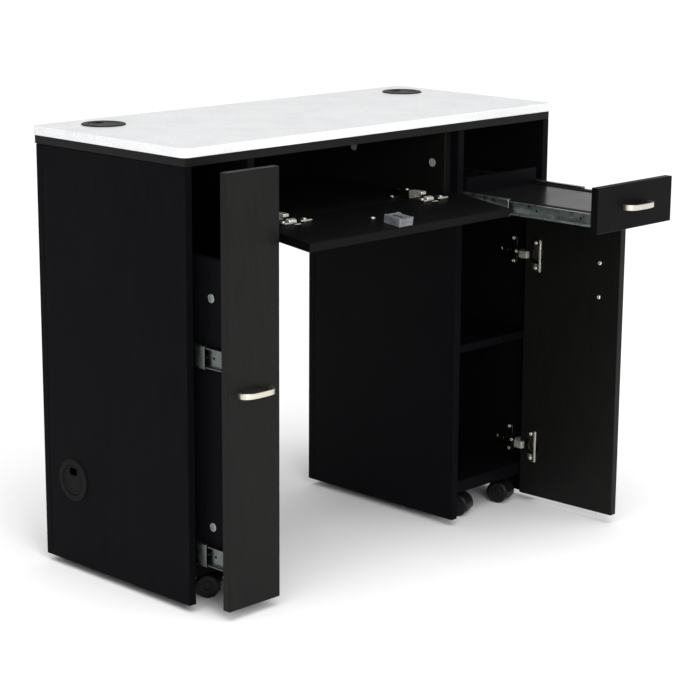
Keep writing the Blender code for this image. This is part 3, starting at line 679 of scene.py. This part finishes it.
def slide(name, wall, toward, level, heights, middle_body, moving_body, surface=None):
    """Cabinet, middle and moving members, the ball retainer, and the screws that show."""
    member(name + "_cabinet_rail", name + "_outer", "carcass", FIXINGS,
           channel(heights[0] / 2, GAP, 11.0), toward, wall, level, surface)
    member(name + "_middle_rail", name + "_middle", middle_body, MIDDLE_SLOTS,
           channel(heights[1] / 2, 2.4, 10.0), toward, wall, level, surface)
    member(name + "_moving_rail", name + "_inner", moving_body, FIXINGS,
           channel(heights[2] / 2, 12.4, 4.2), toward, wall, level, surface)
    half = heights[1] / 2 - STEEL
    web = block((3.9, 5.0), (-half + 1.5, half - 1.5), (-9, 9))
    lips = [block((3.9, 9.6), edge, (-9, 9))
            for edge in ((0.1 - half, 1.3 - half), (half - 1.3, half - 0.1))]
    balls = [moved(lathe([(0, 1)] + [(math.sin(math.radians(turn)), math.cos(math.radians(turn)))
                                     for turn in range(30, 180, 30)] + [(0, -1)], 12),
                   shift(7.4, sign * (half - 1.7), step)) for sign in (-1, 1)
             for step in (-6, -2, 2, 6)]
    retainer = joined(web, *lips, *balls)
    if toward < 0:
        moved(retainer, Matrix.Diagonal((-1, 1, 1, 1)))
        bmesh.ops.reverse_faces(retainer, faces=retainer.faces)
    centre = at(wall, SLIDE_FRONT + 11, level)
    piece(name + "_retainer", retainer, middle_body, "zinc_steel", axes(centre, X, Z))
    fixed = axes(at(wall + toward * 1.5, SLIDE_FRONT, level), Y, toward * -Z)
    screws(name + "_cabinet_screws", [(place, 0, 0) for place in CABINET_SCREWS], 3.2, "carcass",
           fixed, "zinc_steel", BRASS)
    carried = axes(at(wall + toward * 11.2, SLIDE_FRONT, level), Y, toward * Z)
    screws(name + "_moving_screws", [(place, 0, 0) for place in MOVING_SCREWS], 3.2, moving_body,
           carried, "zinc_steel", BRASS)


# The rack's slides take the darker zinc copy: painted shade.
for level_name, level in RACK_SLIDE_LEVELS.items():
    slide("rack_slide_" + level_name, BOARD, 1, level, RACK_SLIDE, "rack_slide_middles", "rack",
          ZINC_SHADED)
for side, wall, toward in (("left", RIGHT_INNER, 1), ("right", OUTER_RIGHT, -1)):
    slide("drawer_slide_" + side, wall, toward, DRAWER_SLIDE_LEVEL, DRAWER_SLIDE,
          "drawer_slide_middles", "drawer")

# ---- Flap catch ----


CATCH_MIDDLE = (378.5, 705.5)


def flap_catch():
    """A cloudy plastic case on the flap: a seam round it, four posts, and a spring in a window."""
    width, depth, height = 35.0, 39.0, 13.4
    case = prism(rounded(width - 1.6, depth - 1.6, 2.5), 0, height)
    seam = combined(prism(rounded(width + 4, depth + 4, 3), 6.4, 7.0),
                    (prism(rounded(width - 2.8, depth - 2.8, 2), 5, 9),))
    window = block((-8, 8), (-13, 13), (height - 1.2, height + 5))
    case = combined(case, (seam, window))
    post = ((0, height + 1), (1.6, height + 1), (2.3, height + 0.4), (2.3, 0), (0, 0))
    posts = [moved(lathe(post, 16), shift(x * (width / 2 - 2.9), y * (depth / 2 - 2.9), 0))
             for x in (-1, 1) for y in (-1, 1)]
    matrix = axes(at(CATCH_MIDDLE[0], BOARD + GAP, CATCH_MIDDLE[1]), X, -Z)
    piece("catch_case", joined(case, *posts), "flap", "grey_plastic", matrix, soft=0.5,
          stands_for=("flap_catch",))
    strip = block((-3, 3), (-11, 11), (height - 1.1, height - 0.4))
    piece("catch_spring", strip, "flap", "zinc_steel", matrix, soft=0.2)


flap_catch()

# ---- Cams, by (y, z) in the box and by z on the rack's side ----

BOX_CAMS = {"front": (49, 668), "back": (246, 677)}
RACK_SIDE = 28.0
RACK_CAMS = (519, 137)

# The box's cams take the lighter zinc copy: painted light.
for cam_name, (depth, height) in BOX_CAMS.items():
    cam("box_cam_" + cam_name, "carcass", axes(at(BOX_INNER_RIGHT, depth, height), Y, -Z),
        CAM_METAL_PAINTED_LIGHT)
for number, height in enumerate(RACK_CAMS):
    cam(f"rack_cam_{number}", "rack", axes(at(RACK_SIDE, 49, height), Y, -Z))

# ---- Casters ----

WHEEL_RADIUS = 20.0
WHEEL_OUTSIDE = 17.2
TYRE_ROUND = 1.8
HOOD_RADIUS = 22.5
HOOD_HALF = 18.0
HOOD_ROUND = 3.0
HOOD_LIP = -5.8
WELL_RADIUS = 20.8
WEB_HALF = 5.0
STEM_ABOVE = 13.0


def caster(name):
    """A hood over two wheels on a stem, and the wheel pair on its axle."""
    swivel, roll = JOINTS[name + "_swivel"], JOINTS[name + "_roll"]
    axle, axis = Vector(roll["pos_m"]), Vector(roll["axis"])
    stem = Vector(swivel["pos_m"]) - axle
    trail, rise = math.hypot(stem.x, stem.y) / MM, stem.z / MM
    REST[name + "_caster"] = REST[name + "_wheels"] = Matrix()
    here = axes(axle, axis, Z.cross(axis))
    along = axes((0, 0, 0), Y, Z)
    round_at = (HOOD_RADIUS - HOOD_ROUND, HOOD_HALF - HOOD_ROUND)
    drum = [(0, HOOD_HALF)] + arc(round_at, HOOD_ROUND, 90, 0, 5)
    drum += arc((round_at[0], -round_at[1]), HOOD_ROUND, 0, -90, 5) + [(0, -HOOD_HALF)]
    hood = moved(lathe(drum, 48), along)
    boss = lathe(((0, rise - 0.5), (8, rise - 0.5), (8, 4), (0, 4)), 28)
    collar = lathe(((0, rise - 1), (6.5, rise - 1), (6.5, rise - 4), (0, rise - 4)), 28)
    tip = rise + STEM_ABOVE
    pin = lathe(((0, tip), (4.2, tip), (5, tip - 1), (5, rise - 2), (0, rise - 2)), 24)
    hood = combined(hood, [moved(post, shift(0, trail, 0)) for post in (boss, collar, pin)],
                    "UNION")
    well = ((0, 25), (WELL_RADIUS, 25), (WELL_RADIUS, WEB_HALF), (0, WEB_HALF))
    wells = [moved(lathe(well, 48), axes((0, 0, 0), Y, end * Z)) for end in (-1, 1)]
    skirt = block((-30, 30), (-40, 40), (-40, HOOD_LIP))
    bore = moved(lathe(((0, 30), (3.8, 30), (3.8, -30), (0, -30)), 20), along)
    hood = combined(hood, (*wells, skirt, bore))
    piece(name + "_hood", hood, name + "_caster", "black_plastic", here, soft=0.4,
          stands_for=(name + "_caster_hood",))
    half = [(0, 15.4), (5, 15.4), (6, WHEEL_OUTSIDE), (8.5, WHEEL_OUTSIDE), (9.5, 15.8),
            (14.8, 15.8), (15.6, WHEEL_OUTSIDE)]
    for height, start, end in ((15.6, 70, 0), (7.8, 0, -70)):
        half += arc((WHEEL_RADIUS - TYRE_ROUND, height), TYRE_ROUND, start, end, 5)
    half += [(15, 6.2), (3.5, 6.2)]
    profile = half + [(radius, -height) for radius, height in reversed(half)]
    piece(name + "_tyres", moved(lathe(profile, 48), along), name + "_wheels", "black_plastic",
          here, stands_for=(name + "_caster_wheels",))


for caster_name in CASTERS:
    caster(caster_name)

# ---- Floor, light and camera ----

CAMERA_PLACE = (-2144.7, -2463.2, 1217.2)
AZIMUTH, ELEVATION, ROLL = math.radians(-45.634), math.radians(13.486), math.radians(0.387)
LENS = 107.65
FLOOR_REACH = 400
WORLD_STRENGTH = 0.55
# Name, kind, power, place, target, and the sun's angle or the softbox's side.
LIGHTS = (
    ("sky_sun", "SUN", 2.1, (-0.7, -0.9, 3.2), (0, 0, 0), math.radians(60)),
    ("camera_softbox", "AREA", 42, (-1.5, -2.6, 1.4), (0, 0, 0.4), 1.2),
    ("right_softbox", "AREA", 8, (1.8, -3.2, 1.4), (0.2, 0, 0.4), 2.0),
)


def floor():
    data = bmesh.new()
    bmesh.ops.create_grid(data, x_segments=1, y_segments=1, size=FLOOR_REACH)
    mesh = bpy.data.meshes.new("floor")
    data.to_mesh(mesh)
    data.free()
    made, nodes, links, shader, place = new_material("pale_floor", (0.93, 0.93, 0.93), 0.8)
    links.new(ramp(nodes, links, noise(nodes, links, place, 3, 2), (0.92, 0.92, 0.92),
                   (0.94, 0.94, 0.94)), shader.inputs["Base Color"])
    mesh.materials.append(made)
    obj = bpy.data.objects.new("floor", mesh)
    bpy.context.scene.collection.objects.link(obj)


def light(name, kind, energy, place, target, size):
    data = bpy.data.lights.new(name, kind)
    data.energy = energy
    if kind == "SUN":
        data.angle = size
    else:
        data.shape = "SQUARE"
        data.size = size
    obj = bpy.data.objects.new(name, data)
    bpy.context.scene.collection.objects.link(obj)
    obj.location = place
    way = Vector(target) - Vector(place)
    obj.rotation_euler = way.to_track_quat("-Z", "Y").to_euler()


def camera():
    data = bpy.data.cameras.new("camera")
    data.lens = LENS
    data.sensor_width = 36
    data.clip_end = 1000
    obj = bpy.data.objects.new("camera", data)
    bpy.context.scene.collection.objects.link(obj)
    back = Vector((math.sin(AZIMUTH) * math.cos(ELEVATION),
                   -math.cos(AZIMUTH) * math.cos(ELEVATION), math.sin(ELEVATION)))
    level = (-back).cross(Z).normalized()
    upright = level.cross(-back)
    right = math.cos(ROLL) * level + math.sin(ROLL) * upright
    up = math.cos(ROLL) * upright - math.sin(ROLL) * level
    rotation = Matrix((right, up, back)).transposed().to_4x4()
    obj.matrix_world = Matrix.Translation(at(*CAMERA_PLACE)) @ rotation
    bpy.context.scene.camera = obj


floor()
camera()
for values in LIGHTS:
    light(*values)
world = bpy.data.worlds.new("studio")
world.use_nodes = True
background = world.node_tree.nodes["Background"]
background.inputs["Color"].default_value = (*WHITE, 1)
background.inputs["Strength"].default_value = WORLD_STRENGTH
bpy.context.scene.world = world
bpy.context.scene.view_settings.view_transform = "Standard"
